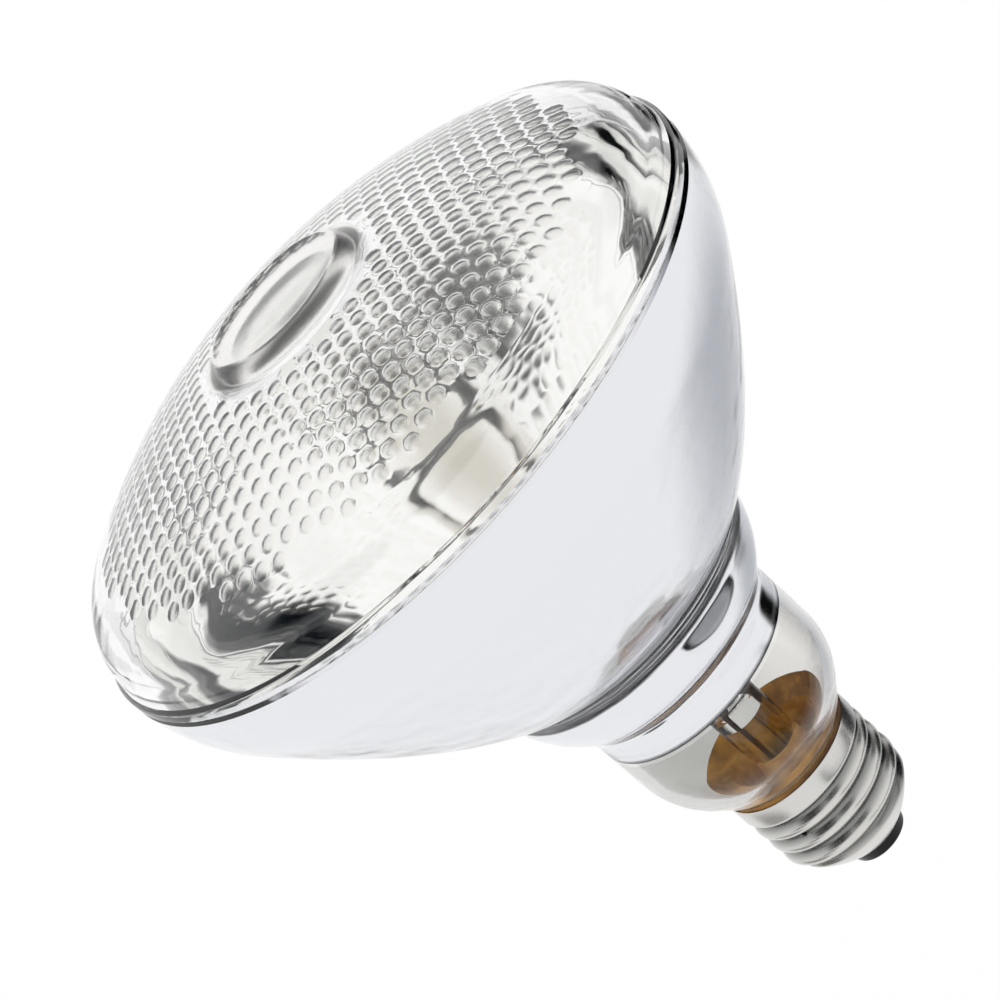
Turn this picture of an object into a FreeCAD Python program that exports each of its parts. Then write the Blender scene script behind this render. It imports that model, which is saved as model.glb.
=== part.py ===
"""Infrared heat lamp bulb: a pressed-glass reflector lamp on a medium screw cap.

The lamp stands on its own axis, Z, with the centre contact's tip at the origin, the screw cap at
the bottom and the lens on top. Lengths are millimetres, angles are degrees.
"""
import FreeCAD, Part
import math
import os

import Sketcher

# A sketch numbers its axes and an element's points in these orders
HORIZONTAL_AXIS, VERTICAL_AXIS = range(-1, -3, -1)
START, STOP, CENTRE = range(1, 4)

SAME_PLACE = 0.05
# Largest shoulder radius as a multiple of the height of the side wall that it runs into
SHOULDER_SHARE = 2
# Radius of the tipped-off end as a multiple of its tube's radius
TIP_SHARE = 1.1
SUPPORT_COUNT = 3
HALF_TURN = 180
FULL_TURN = 360

DIMENSIONS = (
    # Lens
    ("rim_radius", 61.2, "largest radius of the glass, at the seam of lens and reflector"),
    ("seam_rise", 56.2, "height of the fused seam above the paraboloid's vertex"),
    ("rim_wall", 3.6, "glass thickness at the seam"),
    ("skirt_taper", 14, "lean of the lens's side wall towards the axis"),
    ("dome_radius", 120, "outer radius of the lens's dome"),
    ("lens_height", 25, "height of the dome's top above the seam"),
    ("lens_wall", 3.2, "glass thickness of the dome"),
    ("shoulder_round", 10, "outer radius between side wall and dome"),
    ("medallion_radius", 13.7, "radius of the raised round pad in the middle of the lens"),
    ("medallion_rise", 0.9, "how far the pad's flat stands above the dome's top"),
    ("medallion_draft", 1.3, "how much wider the pad is at its foot"),
    ("medallion_round", 0.6, "edge radius of the pad"),
    # Reflector bowl and collar
    ("focal_length", 17, "focal length of the paraboloid mirror"),
    ("vertex_drop", 3.7, "how far the paraboloid's vertex lies below the collar's top"),
    ("bowl_wall", 3, "glass thickness of the bowl"),
    ("bowl_heel", 25, "mirror radius at the bowl's lower end"),
    ("bowl_middle", 39, "mirror radius half way up the bowl"),
    ("bowl_top", 53.6, "mirror radius where the bowl turns up to its rim"),
    ("rim_round", 26.3, "radius of that turn on the mirror side"),
    ("collar_radius", 26.3, "outer radius of the collar under the bowl"),
    ("collar_height", 9.3, "height of the collar's bulge"),
    ("collar_round", 20, "radius of the collar's bulge"),
    ("foot_radius", 20.9, "outer radius where the bulge starts"),
    ("foot_rise", 3.2, "height of the hollow between neck and collar"),
    ("foot_round", 4.5, "radius of that hollow"),
    ("collar_wall", 3.3, "glass thickness of the collar"),
    # Neck
    ("neck_radius", 19.6, "outer radius of the clear neck"),
    ("neck_wall", 1.9, "glass thickness of the neck"),
    ("neck_length", 12, "length of the neck's straight wall"),
    ("heel_round", 16.5, "radius of the turn below that wall"),
    ("heel_rise", 9, "height of that turn"),
    ("heel_radius", 16.8, "outer radius where the turn becomes a cone"),
    ("cone_length", 5.1, "height of the cone"),
    ("cone_gap", 0.1, "how much narrower than the cap the cone's lower end is"),
    ("throat_gap", 0.45, "gap between throat and cap, filled with cement"),
    ("throat_wall", 1.6, "glass thickness of the throat"),
    ("throat_end", 14, "height of the throat's lower end"),
    # Stem
    ("stem_radius", 4.9, "outer radius of the stem tube"),
    ("stem_wall", 1.2, "glass thickness of the stem tube"),
    ("seal_height", 1.5, "height of the band where flare and throat are fused"),
    ("flare_top", 27.5, "height where the flare has narrowed to the tube"),
    ("flare_round", 17.4, "radius of the flare's curve"),
    ("bore_top", 36.5, "height where the tube's bore ends"),
    ("tube_cap", 4.5, "thickness of the tube's closed end"),
    ("press_height", 12.5, "height of the flat press above the bore"),
    ("press_width", 9.6, "width of the press"),
    ("press_depth", 3.8, "thickness of the press"),
    ("press_round", 2.3, "radius of the press's rounded ends"),
    ("exhaust_radius", 2.2, "outer radius of the exhaust tube"),
    ("exhaust_wall", 0.7, "glass thickness of the exhaust tube"),
    ("exhaust_end", 19.5, "height of the exhaust tube's tipped-off end"),
    ("rod_radius", 1.2, "radius of the glass rod on the press"),
    ("button_radius", 2.4, "radius of the rod's button"),
    ("button_drop", 9.8, "how far the button's underside lies below the focus"),
    ("button_height", 3, "height of the button"),
    # Wires and filament
    ("lead_azimuth", 228, "direction of the plane that holds the leads, from +X"),
    ("lead_offset", 2.9, "distance of each lead from the axis in the press"),
    ("lead_radius", 0.4, "radius of the leads"),
    ("weld_rise", 6.5, "height of the joint of inner and outer leads above the bore"),
    ("lead_stub", 3, "length of the inner leads above the press before they spread"),
    ("spread_drop", 8.8, "how far below the focus they are upright again"),
    ("filament_radius", 9, "radius of the filament's half ring"),
    ("coil_radius", 0.7, "outer radius of the coiled wire"),
    ("coil_overrun", 5, "how far each end of the half ring runs past its lead"),
    ("support_radius", 0.25, "radius of the filament's support wires"),
    ("support_bend", 1.5, "bend radius of the support wires"),
    ("side_level", 12.6, "height of the side lead's run to the shell"),
    ("lead_bend", 2, "bend radius of the outer leads"),
    ("slant_top", 18, "height where the centre lead leaves its straight run"),
    ("slant_foot", 10.5, "height where it reaches the axis"),
    # Cap
    ("cap_radius", 13.1, "crest radius of the cap's thread"),
    ("thread_pitch", 3.629, "rise of the thread in one turn"),
    ("thread_depth", 1, "depth of the thread"),
    ("groove_half", 1.25, "half width of the thread's groove at the crest"),
    ("thread_drop", 0.1, "how far the lowest groove lies below the dome's end"),
    ("thread_turns", 3.3, "number of turns"),
    ("sheet_wall", 0.35, "thickness of the cap's sheet"),
    ("cap_rim", 26, "height of the shell's upper edge"),
    ("cement_line", 0.9, "height of the cement between the shell's edge and the glass"),
    ("dome_top", 10, "height where the shell's dome ends"),
    ("lip_radius", 6.6, "radius of the shell's lower edge"),
    ("lip_height", 3.6, "height of the shell's lower edge"),
    ("dome_round", 22, "radius of the shell's dome in section"),
    ("nose_radius", 5.3, "radius of the insulator's end face"),
    ("nose_height", 0.8, "height of the insulator's end face"),
    ("eyelet_radius", 1.2, "radius of the insulator's centre hole"),
    ("contact_radius", 4, "radius of the contact plate"),
    ("contact_height", 0.35, "height of the contact plate's underside"),
    ("solder_radius", 2.6, "radius of the solder drop"),
    ("solder_flat", 1.5, "radius of its flat end"),
)

# Places that follow from the sizes, as formulas of the spreadsheet
PLACES = (
    ("cone_height", "=cap_rim + cement_line", "height of the cone's lower end"),
    ("heel_height", "=cone_height + cone_length", "height of the cone's upper end"),
    ("neck_bottom", "=heel_height + heel_rise", "height of the neck's lower end"),
    ("neck_top", "=neck_bottom + neck_length", "height of the neck's upper end"),
    ("collar_foot", "=neck_top + foot_rise", "height where the collar's bulge starts"),
    ("collar_top", "=collar_foot + collar_height", "height where the collar's side is upright"),
    ("mirror_vertex", "=collar_top - vertex_drop", "height of the paraboloid's vertex"),
    ("focus_height", "=mirror_vertex + focal_length", "height of the paraboloid's focus"),
    ("seam_height", "=mirror_vertex + seam_rise", "height of the fused seam of lens and reflector"),
    ("shell_bore", "=cap_radius - thread_depth - sheet_wall", "inside radius of the shell behind its thread"),
    ("band_bore", "=cap_radius - sheet_wall", "inside radius of the shell's plain band"),
    ("cone_radius", "=cap_radius - cone_gap", "outer radius of the cone's lower end"),
    ("throat_radius", "=shell_bore - throat_gap", "outer radius of the throat inside the cap"),
    ("tube_top", "=bore_top + tube_cap", "height of the stem tube's closed end"),
    ("press_top", "=bore_top + press_height", "height of the flat press"),
    ("weld_height", "=bore_top + weld_rise", "height of the joint of inner and outer leads"),
    ("spread_foot", "=press_top + lead_stub", "height where the inner leads start to spread"),
    ("spread_top", "=focus_height - spread_drop", "height where they are upright again"),
    ("button_foot", "=focus_height - button_drop", "height of the button's underside"),
    ("thread_foot", "=dome_top - thread_drop", "height of the thread's lowest groove"),
    ("thread_top", "=thread_foot + thread_pitch * thread_turns", "height of the thread's highest groove"),
    ("band_foot", "=thread_top + groove_half", "height of the plain band's lower end"),
)

doc = FreeCAD.newDocument("InfraredHeatLamp")
sheet = doc.addObject("Spreadsheet::Sheet", "Dimensions")


class Size:
    """A number together with the expression that ties it to the spreadsheet."""

    def __init__(self, value, text):
        self.value = value
        self.text = text

    def with_other(self, sign, other, value):
        return Size(value, f"({self.text} {sign} {other.text})")

    def __add__(self, other):
        other = as_size(other)
        return self.with_other("+", other, self.value + other.value)

    def __sub__(self, other):
        other = as_size(other)
        return self.with_other("-", other, self.value - other.value)

    def __mul__(self, other):
        other = as_size(other)
        return self.with_other("*", other, self.value * other.value)

    def __truediv__(self, other):
        other = as_size(other)
        return self.with_other("/", other, self.value / other.value)

    def __pow__(self, other):
        other = as_size(other)
        return self.with_other("^", other, self.value ** other.value)

    def __neg__(self):
        return Size(-self.value, f"(-1 * {self.text})")


def as_size(item):
    """Treat a plain number as a size too."""
    if isinstance(item, Size):
        return item
    return Size(float(item), str(item))


class Sizes:
    """The spreadsheet's cells by name, each as a Size."""

    def __init__(self, cells):
        for row, (alias, number, note) in enumerate(cells, start=1):
            sheet.set(f"A{row}", note)
            sheet.set(f"B{row}", str(number))
            sheet.setAlias(f"B{row}", alias)
        doc.recompute()
        for alias, number, note in cells:
            setattr(self, alias, Size(float(sheet.get(alias)), f"{sheet.Name}.{alias}"))


def tangent(angle):
    """The tangent of an angle in degrees."""
    return Size(math.tan(math.radians(angle.value)), f"tan({angle.text})")


def root(square):
    """The square root of a size."""
    return square ** 0.5


def smaller(one, other):
    """The smaller of two sizes."""
    return Size(min(one.value, other.value), f"min({one.text}; {other.text})")


size = Sizes(DIMENSIONS + PLACES)
nodes = []


# Sketches and features

def new_body(label):
    """An empty body that becomes one sub-part."""
    body = doc.addObject("PartDesign::Body", label)
    body.Label = label
    nodes.append(body)
    return body


def new_sketch(body, name, role, offset=None):
    """A sketch on one of the body's own origin planes, moved along the plane's normal."""
    plane = next(item for item in body.Origin.OriginFeatures if item.Role == role)
    sketch = body.newObject("Sketcher::SketchObject", name)
    sketch.AttachmentSupport = [(plane, "")]
    sketch.MapMode = "FlatFace"
    if offset is not None:
        sketch.setExpression("AttachmentOffset.Base.z", offset.text)
    return sketch


def pin_point(sketch, element, end, across, up):
    """Hold a point of the sketch at its distances from the origin."""
    places = (("DistanceX", across, VERTICAL_AXIS), ("DistanceY", up, HORIZONTAL_AXIS))
    for kind, distance, axis in places:
        if distance.value == 0:
            sketch.addConstraint(Sketcher.Constraint("PointOnObject", element, end, axis))
            continue
        rule = Sketcher.Constraint(kind, HORIZONTAL_AXIS, START, element, end, distance.value)
        index = sketch.addConstraint(rule)
        sketch.setExpression(f"Constraints[{index}]", distance.text)


def bent_side(start, stop, bend):
    """The arc from one corner to the next, with its centre on the left where bend is positive."""
    chord = stop - start
    rise = math.sqrt(bend ** 2 - (chord.Length / 2) ** 2)
    left = FreeCAD.Vector(-chord.y, chord.x, 0).normalize()
    centre = (start + stop) / 2 + left * math.copysign(rise, bend)
    first, last = (start, stop) if bend > 0 else (stop, start)
    angles = [math.atan2(point.y - centre.y, point.x - centre.x) for point in (first, last)]
    circle = Part.Circle(centre, FreeCAD.Vector(0, 0, 1), abs(bend))
    return Part.ArcOfCircle(circle, *angles)


def draw_outline(sketch, corners, closed=True):
    """Draw and constrain an outline of (across, up) corners.

    A third entry in a corner bends the side that arrives there to an arc of that radius, which
    turns left where the radius is positive and right where it is negative.
    """
    places = []
    for corner in corners:
        across, up, *bend = (as_size(entry) for entry in corner)
        places.append((across, up, bend[0] if bend else None))
    points = [FreeCAD.Vector(across.value, up.value, 0) for across, up, bend in places]
    first_side = 0 if closed else 1
    ends = []
    for index in range(first_side, len(places)):
        start, stop = points[index - 1], points[index]
        bend = places[index][2]
        if bend is None:
            element = sketch.addGeometry(Part.LineSegment(start, stop))
            ends.append((element, START, STOP))
            continue
        element = sketch.addGeometry(bent_side(start, stop, bend.value))
        ends.append((element, START, STOP) if bend.value > 0 else (element, STOP, START))
        rule = sketch.addConstraint(Sketcher.Constraint("Radius", element, abs(bend.value)))
        sketch.setExpression(f"Constraints[{rule}]", (bend if bend.value > 0 else -bend).text)
    for before, after in zip(ends, ends[1:]):
        sketch.addConstraint(Sketcher.Constraint("Coincident", before[0], before[2], after[0], after[1]))
    if closed:
        before, after = ends[-1], ends[0]
        sketch.addConstraint(Sketcher.Constraint("Coincident", before[0], before[2], after[0], after[1]))
    else:
        pin_point(sketch, ends[0][0], ends[0][1], *places[0][:2])
    for (element, start, stop), (across, up, bend) in zip(ends, places[first_side:]):
        pin_point(sketch, element, stop, across, up)


def draw_circle(sketch, across, up, radius):
    """Draw and constrain a circle."""
    across, up = as_size(across), as_size(up)
    centre = FreeCAD.Vector(across.value, up.value, 0)
    element = sketch.addGeometry(Part.Circle(centre, FreeCAD.Vector(0, 0, 1), radius.value))
    pin_point(sketch, element, CENTRE, across, up)
    rule = sketch.addConstraint(Sketcher.Constraint("Radius", element, radius.value))
    sketch.setExpression(f"Constraints[{rule}]", radius.text)


def turned(label, corners):
    """A body turned about Z from its section."""
    body = new_body(label)
    section = new_sketch(body, label + "_section", "XZ_Plane")
    draw_outline(section, corners)
    turn = body.newObject("PartDesign::Revolution", label + "_turn")
    turn.Profile = section
    turn.ReferenceAxis = (section, ["V_Axis"])
    turn.Angle = FULL_TURN
    doc.recompute()
    return body


def padded(body, name, sketch, height):
    """Raise a sketch along its normal."""
    pad = body.newObject("PartDesign::Pad", name)
    pad.Profile = sketch
    pad.setExpression("Length", height.text)
    doc.recompute()
    return pad


def pocketed(body, name, sketch, depth):
    """Cut a sketch into the body, against its normal."""
    pocket = body.newObject("PartDesign::Pocket", name)
    pocket.Profile = sketch
    pocket.setExpression("Length", depth.text)
    doc.recompute()
    return pocket


def rounded(body, name, radius, places):
    """Round the body's circular edges that have the given radii and heights."""
    base = body.Tip
    found = []
    for number, edge in enumerate(base.Shape.Edges, start=1):
        if edge.Degenerated or not isinstance(edge.Curve, Part.Circle):
            continue
        centre = edge.Curve.Center
        for across, up in places:
            gap = math.hypot(edge.Curve.Radius - across.value, centre.z - up.value)
            if gap < SAME_PLACE and math.hypot(centre.x, centre.y) < SAME_PLACE:
                found.append(f"Edge{number}")
    fillet = body.newObject("PartDesign::Fillet", name)
    fillet.Base = (base, found)
    fillet.setExpression("Radius", radius.text)
    doc.recompute()
    return fillet


def piped(label, path, radius, profile_plane):
    """A wire along a path in the XZ plane that starts square to the profile's plane."""
    body = new_body(label)
    spine = new_sketch(body, label + "_path", "XZ_Plane")
    draw_outline(spine, path, closed=False)
    across, up = as_size(path[0][0]), as_size(path[0][1])
    if profile_plane == "XY_Plane":
        profile = new_sketch(body, label + "_profile", profile_plane, up)
        draw_circle(profile, across, 0, radius)
    else:
        profile = new_sketch(body, label + "_profile", profile_plane, across)
        draw_circle(profile, 0, up, radius)
    doc.recompute()
    pipe = body.newObject("PartDesign::AdditivePipe", label + "_wire")
    pipe.Profile = profile
    pipe.Spine = (spine, [f"Edge{number}" for number in range(1, len(path))])
    pipe.Transition = "Round corner"
    doc.recompute()
    return body


def turn_to(body, angle):
    """Turn a body about Z."""
    turn = FreeCAD.Rotation(FreeCAD.Vector(0, 0, 1), angle.value)
    body.Placement = FreeCAD.Placement(FreeCAD.Vector(), turn)
    body.setExpression("Placement.Rotation.Angle", angle.text)


# Lens

def dome_apex():
    """Height of the lens's dome on the axis."""
    return size.seam_height + size.lens_height


def dome_height(ball, across):
    """Height of the lens's dome, with the given ball radius, at a distance from the axis."""
    return dome_apex() - size.dome_radius + root(ball ** 2 - across ** 2)


def shoulder_corner(side, ball):
    """Corner where a side wall that starts at the seam meets a dome of the given ball radius."""
    lean = tangent(size.skirt_taper)
    drop = size.dome_radius - size.lens_height
    half = drop - side * lean
    spread = lean ** 2 + 1
    climb = (root(half ** 2 - spread * (side ** 2 + drop ** 2 - ball ** 2)) - half) / spread
    return side - climb * lean, size.seam_height + climb


def make_lens():
    outer_ball = size.dome_radius
    inner_ball = size.dome_radius - size.lens_wall
    inner_side = size.rim_radius - size.rim_wall
    outer_corner = shoulder_corner(size.rim_radius, outer_ball)
    inner_corner = shoulder_corner(inner_side, inner_ball)
    pad_foot = size.medallion_radius + size.medallion_draft
    pad_top = dome_apex() + size.medallion_rise
    lens = turned("lens", (
        (inner_side, size.seam_height),
        (size.rim_radius, size.seam_height),
        outer_corner,
        (pad_foot, dome_height(outer_ball, pad_foot), outer_ball),
        (size.medallion_radius, pad_top),
        (0, pad_top),
        (0, dome_apex() - size.lens_wall),
        (*inner_corner, -inner_ball),
    ))
    for name, corner, radius in (
        ("lens_shoulder", outer_corner, size.shoulder_round),
        ("lens_inner_shoulder", inner_corner, size.shoulder_round - size.lens_wall),
    ):
        side_wall = corner[1] - size.seam_height
        rounded(lens, name, smaller(radius, side_wall * SHOULDER_SHARE), [corner])
    rounded(lens, "lens_pad_edge", size.medallion_round, [(size.medallion_radius, pad_top)])


# Reflector

def mirror_place(across):
    """A place on the paraboloid mirror."""
    return across, size.mirror_vertex + across ** 2 / (size.focal_length * 4)


def glass_place(across):
    """The place on the bowl's outside behind a place on the mirror."""
    steep = across / (size.focal_length * 2)
    slant = root(steep ** 2 + 1)
    mirror_radius, mirror_height = mirror_place(across)
    return mirror_radius + size.bowl_wall * steep / slant, mirror_height - size.bowl_wall / slant


def mirror_bend(low, high):
    """The paraboloid's radius of curvature between two mirror radii."""
    steep = (low + high) / (size.focal_length * 4)
    return size.focal_length * 2 * (steep ** 2 + 1) ** 1.5


def make_reflector():
    low, middle, high = size.bowl_heel, size.bowl_middle, size.bowl_top
    low_bend, high_bend = mirror_bend(low, middle), mirror_bend(middle, high)
    wall = size.bowl_wall
    collar_bore = size.collar_radius - size.collar_wall
    neck_bore = size.neck_radius - size.neck_wall
    throat_bore = size.throat_radius - size.throat_wall
    cone_run = size.heel_radius - size.cone_radius
    cone_rise = size.heel_height - size.cone_height
    cone_length = root(cone_run ** 2 + cone_rise ** 2)
    inward = size.neck_wall * cone_rise / cone_length
    upward = size.neck_wall * cone_run / cone_length
    turned("reflector", (
        (throat_bore, size.throat_end),
        (size.throat_radius, size.throat_end),
        (size.throat_radius, size.cap_rim),
        (size.cone_radius, size.cone_height),
        (size.heel_radius, size.heel_height),
        (size.neck_radius, size.neck_bottom, size.heel_round),
        (size.neck_radius, size.neck_top),
        (size.foot_radius, size.collar_foot, -size.foot_round),
        (size.collar_radius, size.collar_top, size.collar_round),
        glass_place(low),
        (*glass_place(middle), low_bend + wall),
        (*glass_place(high), high_bend + wall),
        (size.rim_radius, size.seam_height, size.rim_round + wall),
        (size.rim_radius - size.rim_wall, size.seam_height),
        (*mirror_place(high), -size.rim_round),
        (*mirror_place(middle), -high_bend),
        (*mirror_place(collar_bore), -low_bend),
        (collar_bore, size.collar_top),
        (size.foot_radius - size.collar_wall, size.collar_foot, -(size.collar_round - size.collar_wall)),
        (neck_bore, size.neck_top),
        (neck_bore, size.neck_bottom),
        (size.heel_radius - inward, size.heel_height + upward, -(size.heel_round - size.neck_wall)),
        (size.cone_radius - inward, size.cone_height + upward),
        (throat_bore, size.cap_rim + size.throat_wall),
    ))


# Stem

def make_stem():
    seal_radius = size.throat_radius - size.throat_wall
    seal_top = size.throat_end + size.seal_height
    bore = size.stem_radius - size.stem_wall
    stem = turned("stem_flare", (
        (seal_radius - size.stem_wall, size.throat_end),
        (seal_radius, size.throat_end),
        (seal_radius, seal_top),
        (size.stem_radius, size.flare_top, -size.flare_round),
        (size.stem_radius, size.tube_top),
        (0, size.tube_top),
        (0, size.bore_top),
        (bore, size.bore_top),
        (bore, size.flare_top),
        (seal_radius - size.stem_wall, seal_top, size.flare_round + size.stem_wall),
    ))
    edge = size.press_depth / 2
    bulge = size.press_round - root(size.press_round ** 2 - edge ** 2)
    flat = size.press_width / 2 - bulge
    press = new_sketch(stem, "press_outline", "XY_Plane", size.bore_top)
    draw_outline(press, (
        (-flat, -edge, size.press_round),
        (flat, -edge),
        (flat, edge, size.press_round),
        (-flat, edge),
    ))
    padded(stem, "press", press, size.press_top - size.bore_top)
    holes = new_sketch(stem, "lead_holes", "XY_Plane", size.press_top)
    for side in (1, -1):
        draw_circle(holes, size.lead_offset * side, 0, size.lead_radius)
    pocketed(stem, "lead_hole_cut", holes, size.press_top - size.bore_top)
    turn_to(stem, size.lead_azimuth)


def make_exhaust_tube():
    outer, bore = size.exhaust_radius, size.exhaust_radius - size.exhaust_wall
    tip_round = outer * TIP_SHARE
    turned("exhaust_tube", (
        (0, size.exhaust_end),
        (outer, size.exhaust_end + outer, tip_round),
        (outer, size.bore_top),
        (bore, size.bore_top),
        (bore, size.exhaust_end + outer),
        (0, size.exhaust_end + size.exhaust_wall, -(tip_round - size.exhaust_wall)),
    ))


def make_support_rod():
    button_top = size.button_foot + size.button_height
    turned("support_rod", (
        (0, size.press_top),
        (size.rod_radius, size.press_top),
        (size.rod_radius, size.button_foot),
        (size.button_radius, size.button_foot),
        (size.button_radius, button_top),
        (0, button_top),
    ))


# Wires and filament

def make_inner_leads():
    top = size.focus_height - size.coil_radius
    for name, side in (("inner_lead_side", 1), ("inner_lead_centre", -1)):
        lead = piped(name, (
            (size.lead_offset * side, size.weld_height),
            (size.lead_offset * side, size.spread_foot),
            (size.filament_radius * side, size.spread_top),
            (size.filament_radius * side, top),
        ), size.lead_radius, "XY_Plane")
        turn_to(lead, size.lead_azimuth)


def make_outer_leads():
    bend = size.lead_bend
    wall_place = root(size.shell_bore ** 2 - size.lead_radius ** 2)
    side_lead = piped("outer_lead_side", (
        (size.lead_offset, size.weld_height),
        (size.lead_offset, size.side_level + bend),
        (size.lead_offset + bend, size.side_level, bend),
        (wall_place, size.side_level),
    ), size.lead_radius, "XY_Plane")
    turn_to(side_lead, size.lead_azimuth)
    centre_lead = piped("outer_lead_centre", (
        (-size.lead_offset, size.weld_height),
        (-size.lead_offset, size.slant_top),
        (0, size.slant_foot),
        (0, size.contact_height),
    ), size.lead_radius, "XY_Plane")
    turn_to(centre_lead, size.lead_azimuth)


def make_filament():
    filament = new_body("filament")
    section = new_sketch(filament, "filament_section", "XZ_Plane")
    draw_circle(section, size.filament_radius, size.focus_height, size.coil_radius)
    half_ring = filament.newObject("PartDesign::Revolution", "filament_half_ring")
    half_ring.Profile = section
    half_ring.ReferenceAxis = (section, ["V_Axis"])
    half_ring.setExpression("Angle", (size.coil_overrun * 2 + HALF_TURN).text)
    doc.recompute()
    turn_to(filament, size.lead_azimuth - size.coil_overrun)


def make_filament_supports():
    level = size.button_foot + size.button_height / 2
    bend = size.support_bend
    for number in range(1, SUPPORT_COUNT + 1):
        support = piped(f"filament_support_{number}", (
            (size.button_radius, level),
            (size.filament_radius - bend, level),
            (size.filament_radius, level + bend, bend),
            (size.filament_radius, size.focus_height - size.coil_radius),
        ), size.support_radius, "YZ_Plane")
        turn_to(support, size.lead_azimuth + HALF_TURN * number / (SUPPORT_COUNT + 1))


# Cap

def lip_inside():
    """Inner corner of the shell's lower edge, square to its dome."""
    offset = size.sheet_wall / root(as_size(2))
    return size.lip_radius - offset, size.lip_height + offset


def dome_inside():
    """Inner end of the shell's dome, with the bend that leads to it from the lower edge."""
    return size.shell_bore, size.dome_top - size.thread_depth, size.dome_round - size.sheet_wall


def make_screw_shell():
    shell = turned("screw_shell", (
        (size.lip_radius, size.lip_height),
        (size.cap_radius - size.sheet_wall, size.dome_top, size.dome_round),
        (size.cap_radius, size.dome_top + size.sheet_wall),
        (size.cap_radius, size.cap_rim),
        (size.band_bore, size.cap_rim),
        (size.band_bore, size.band_foot + size.sheet_wall),
        (size.shell_bore, size.band_foot),
        dome_inside()[:2],
        (*lip_inside(), -dome_inside()[2]),
    ))
    groove = new_sketch(shell, "thread_groove", "XZ_Plane")
    clear = size.cap_radius + size.sheet_wall
    reach = size.thread_depth + size.sheet_wall
    sweep = (size.groove_half ** 2 + reach ** 2) / (reach * 2)
    draw_outline(groove, (
        (clear, size.thread_foot - size.groove_half, sweep),
        (clear, size.thread_foot + size.groove_half),
        (size.cap_radius - size.thread_depth, size.thread_foot, sweep),
    ))
    thread = shell.newObject("PartDesign::SubtractiveHelix", "thread")
    thread.Profile = groove
    thread.ReferenceAxis = (groove, ["V_Axis"])
    thread.Mode = "pitch-turns-angle"
    thread.setExpression("Pitch", size.thread_pitch.text)
    thread.setExpression("Turns", size.thread_turns.text)
    doc.recompute()
    turn_to(shell, size.lead_azimuth)


def make_insulator():
    lip_radius, lip_height = lip_inside()
    turned("insulator", (
        (size.eyelet_radius, size.nose_height),
        (size.nose_radius, size.nose_height),
        (lip_radius, size.lip_height),
        (lip_radius, lip_height),
        dome_inside(),
        (size.eyelet_radius, size.dome_top - size.thread_depth),
    ))


def make_contact():
    turned("centre_contact", (
        (size.lead_radius, size.contact_height),
        (size.contact_radius, size.contact_height),
        (size.contact_radius, size.nose_height),
        (size.lead_radius, size.nose_height),
    ))
    turned("contact_solder", (
        (0, 0),
        (size.solder_flat, 0),
        (size.solder_radius, size.contact_height),
        (0, size.contact_height),
    ))


def make_cement():
    turned("basing_cement", (
        (size.throat_radius, size.throat_end),
        (size.shell_bore, size.throat_end),
        (size.shell_bore, size.band_foot),
        (size.band_bore, size.band_foot + size.sheet_wall),
        (size.band_bore, size.cap_rim),
        (size.cone_radius, size.cap_rim),
        (size.cone_radius, size.cone_height),
        (size.throat_radius, size.cap_rim),
    ))


def check_document():
    """Stop if any object failed or any sub-part is not one valid solid."""
    for item in doc.Objects:
        if "Invalid" in item.State or "Error" in item.State:
            raise RuntimeError(f"{item.Label} failed")
    for node in nodes:
        if node.Shape.isNull() or not node.Shape.isValid() or len(node.Shape.Solids) != 1:
            raise RuntimeError(f"{node.Label} is not one valid solid")


make_lens()
make_reflector()
make_stem()
make_exhaust_tube()
make_support_rod()
make_inner_leads()
make_outer_leads()
make_filament()
make_filament_supports()
make_screw_shell()
make_insulator()
make_contact()
make_cement()
doc.recompute()
check_document()

os.makedirs("parts", exist_ok=True)
for node in nodes:
    node.Shape.exportStep(f"parts/{node.Label}.step")
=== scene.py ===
"""Infrared heat lamp bulb: pressed glass, mirror film, nickel cap and wires around the fixed frame."""
import math

import bpy
from mathutils import Matrix, Vector


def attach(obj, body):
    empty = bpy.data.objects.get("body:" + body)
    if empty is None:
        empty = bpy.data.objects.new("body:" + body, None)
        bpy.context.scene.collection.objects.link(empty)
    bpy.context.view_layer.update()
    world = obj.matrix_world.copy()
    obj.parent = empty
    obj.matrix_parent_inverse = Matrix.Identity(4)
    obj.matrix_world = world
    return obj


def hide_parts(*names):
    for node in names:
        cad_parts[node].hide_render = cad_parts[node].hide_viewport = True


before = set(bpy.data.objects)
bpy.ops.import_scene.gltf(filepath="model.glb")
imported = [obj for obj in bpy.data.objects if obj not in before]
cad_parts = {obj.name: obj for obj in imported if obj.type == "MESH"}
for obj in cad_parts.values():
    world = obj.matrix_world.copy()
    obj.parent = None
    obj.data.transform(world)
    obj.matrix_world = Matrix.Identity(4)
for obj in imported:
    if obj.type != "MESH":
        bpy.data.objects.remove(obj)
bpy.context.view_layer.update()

MM = 0.001
GLASS_IOR = 1.474

# Lens, in millimetres, with heights above the flat of the solder drop
RIM_RADIUS = 61.2
SEAM_HEIGHT = 118.0
RIM_WALL = 3.6
SEAM_LINE = 0.05
SEAM_FILM = 0.1
RIM_CHAMFER = 0.5
LEDGE_HEIGHT = 2.4
LEDGE_STEP = 0.3
SKIRT_TAPER = math.radians(14)
DOME_RADIUS = 120.0
DOME_CENTRE = 23.0
LENS_WALL = 3.2
SHOULDER_ROUND = 10.0
DOME_STEP = 3.0
PAD_EDGE = 13.4
PAD_FOOT = 16.6
PAD_TOP = 143.9
PAD_DISH = 0.12
PAD_SWEEP = 1.3
PAD_SWEEP_START = 0.15
PAD_LIP = 0.5
PAD_LIP_FOOT = 0.8
PAD_RINGS = (8.0, 3.0)

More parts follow.
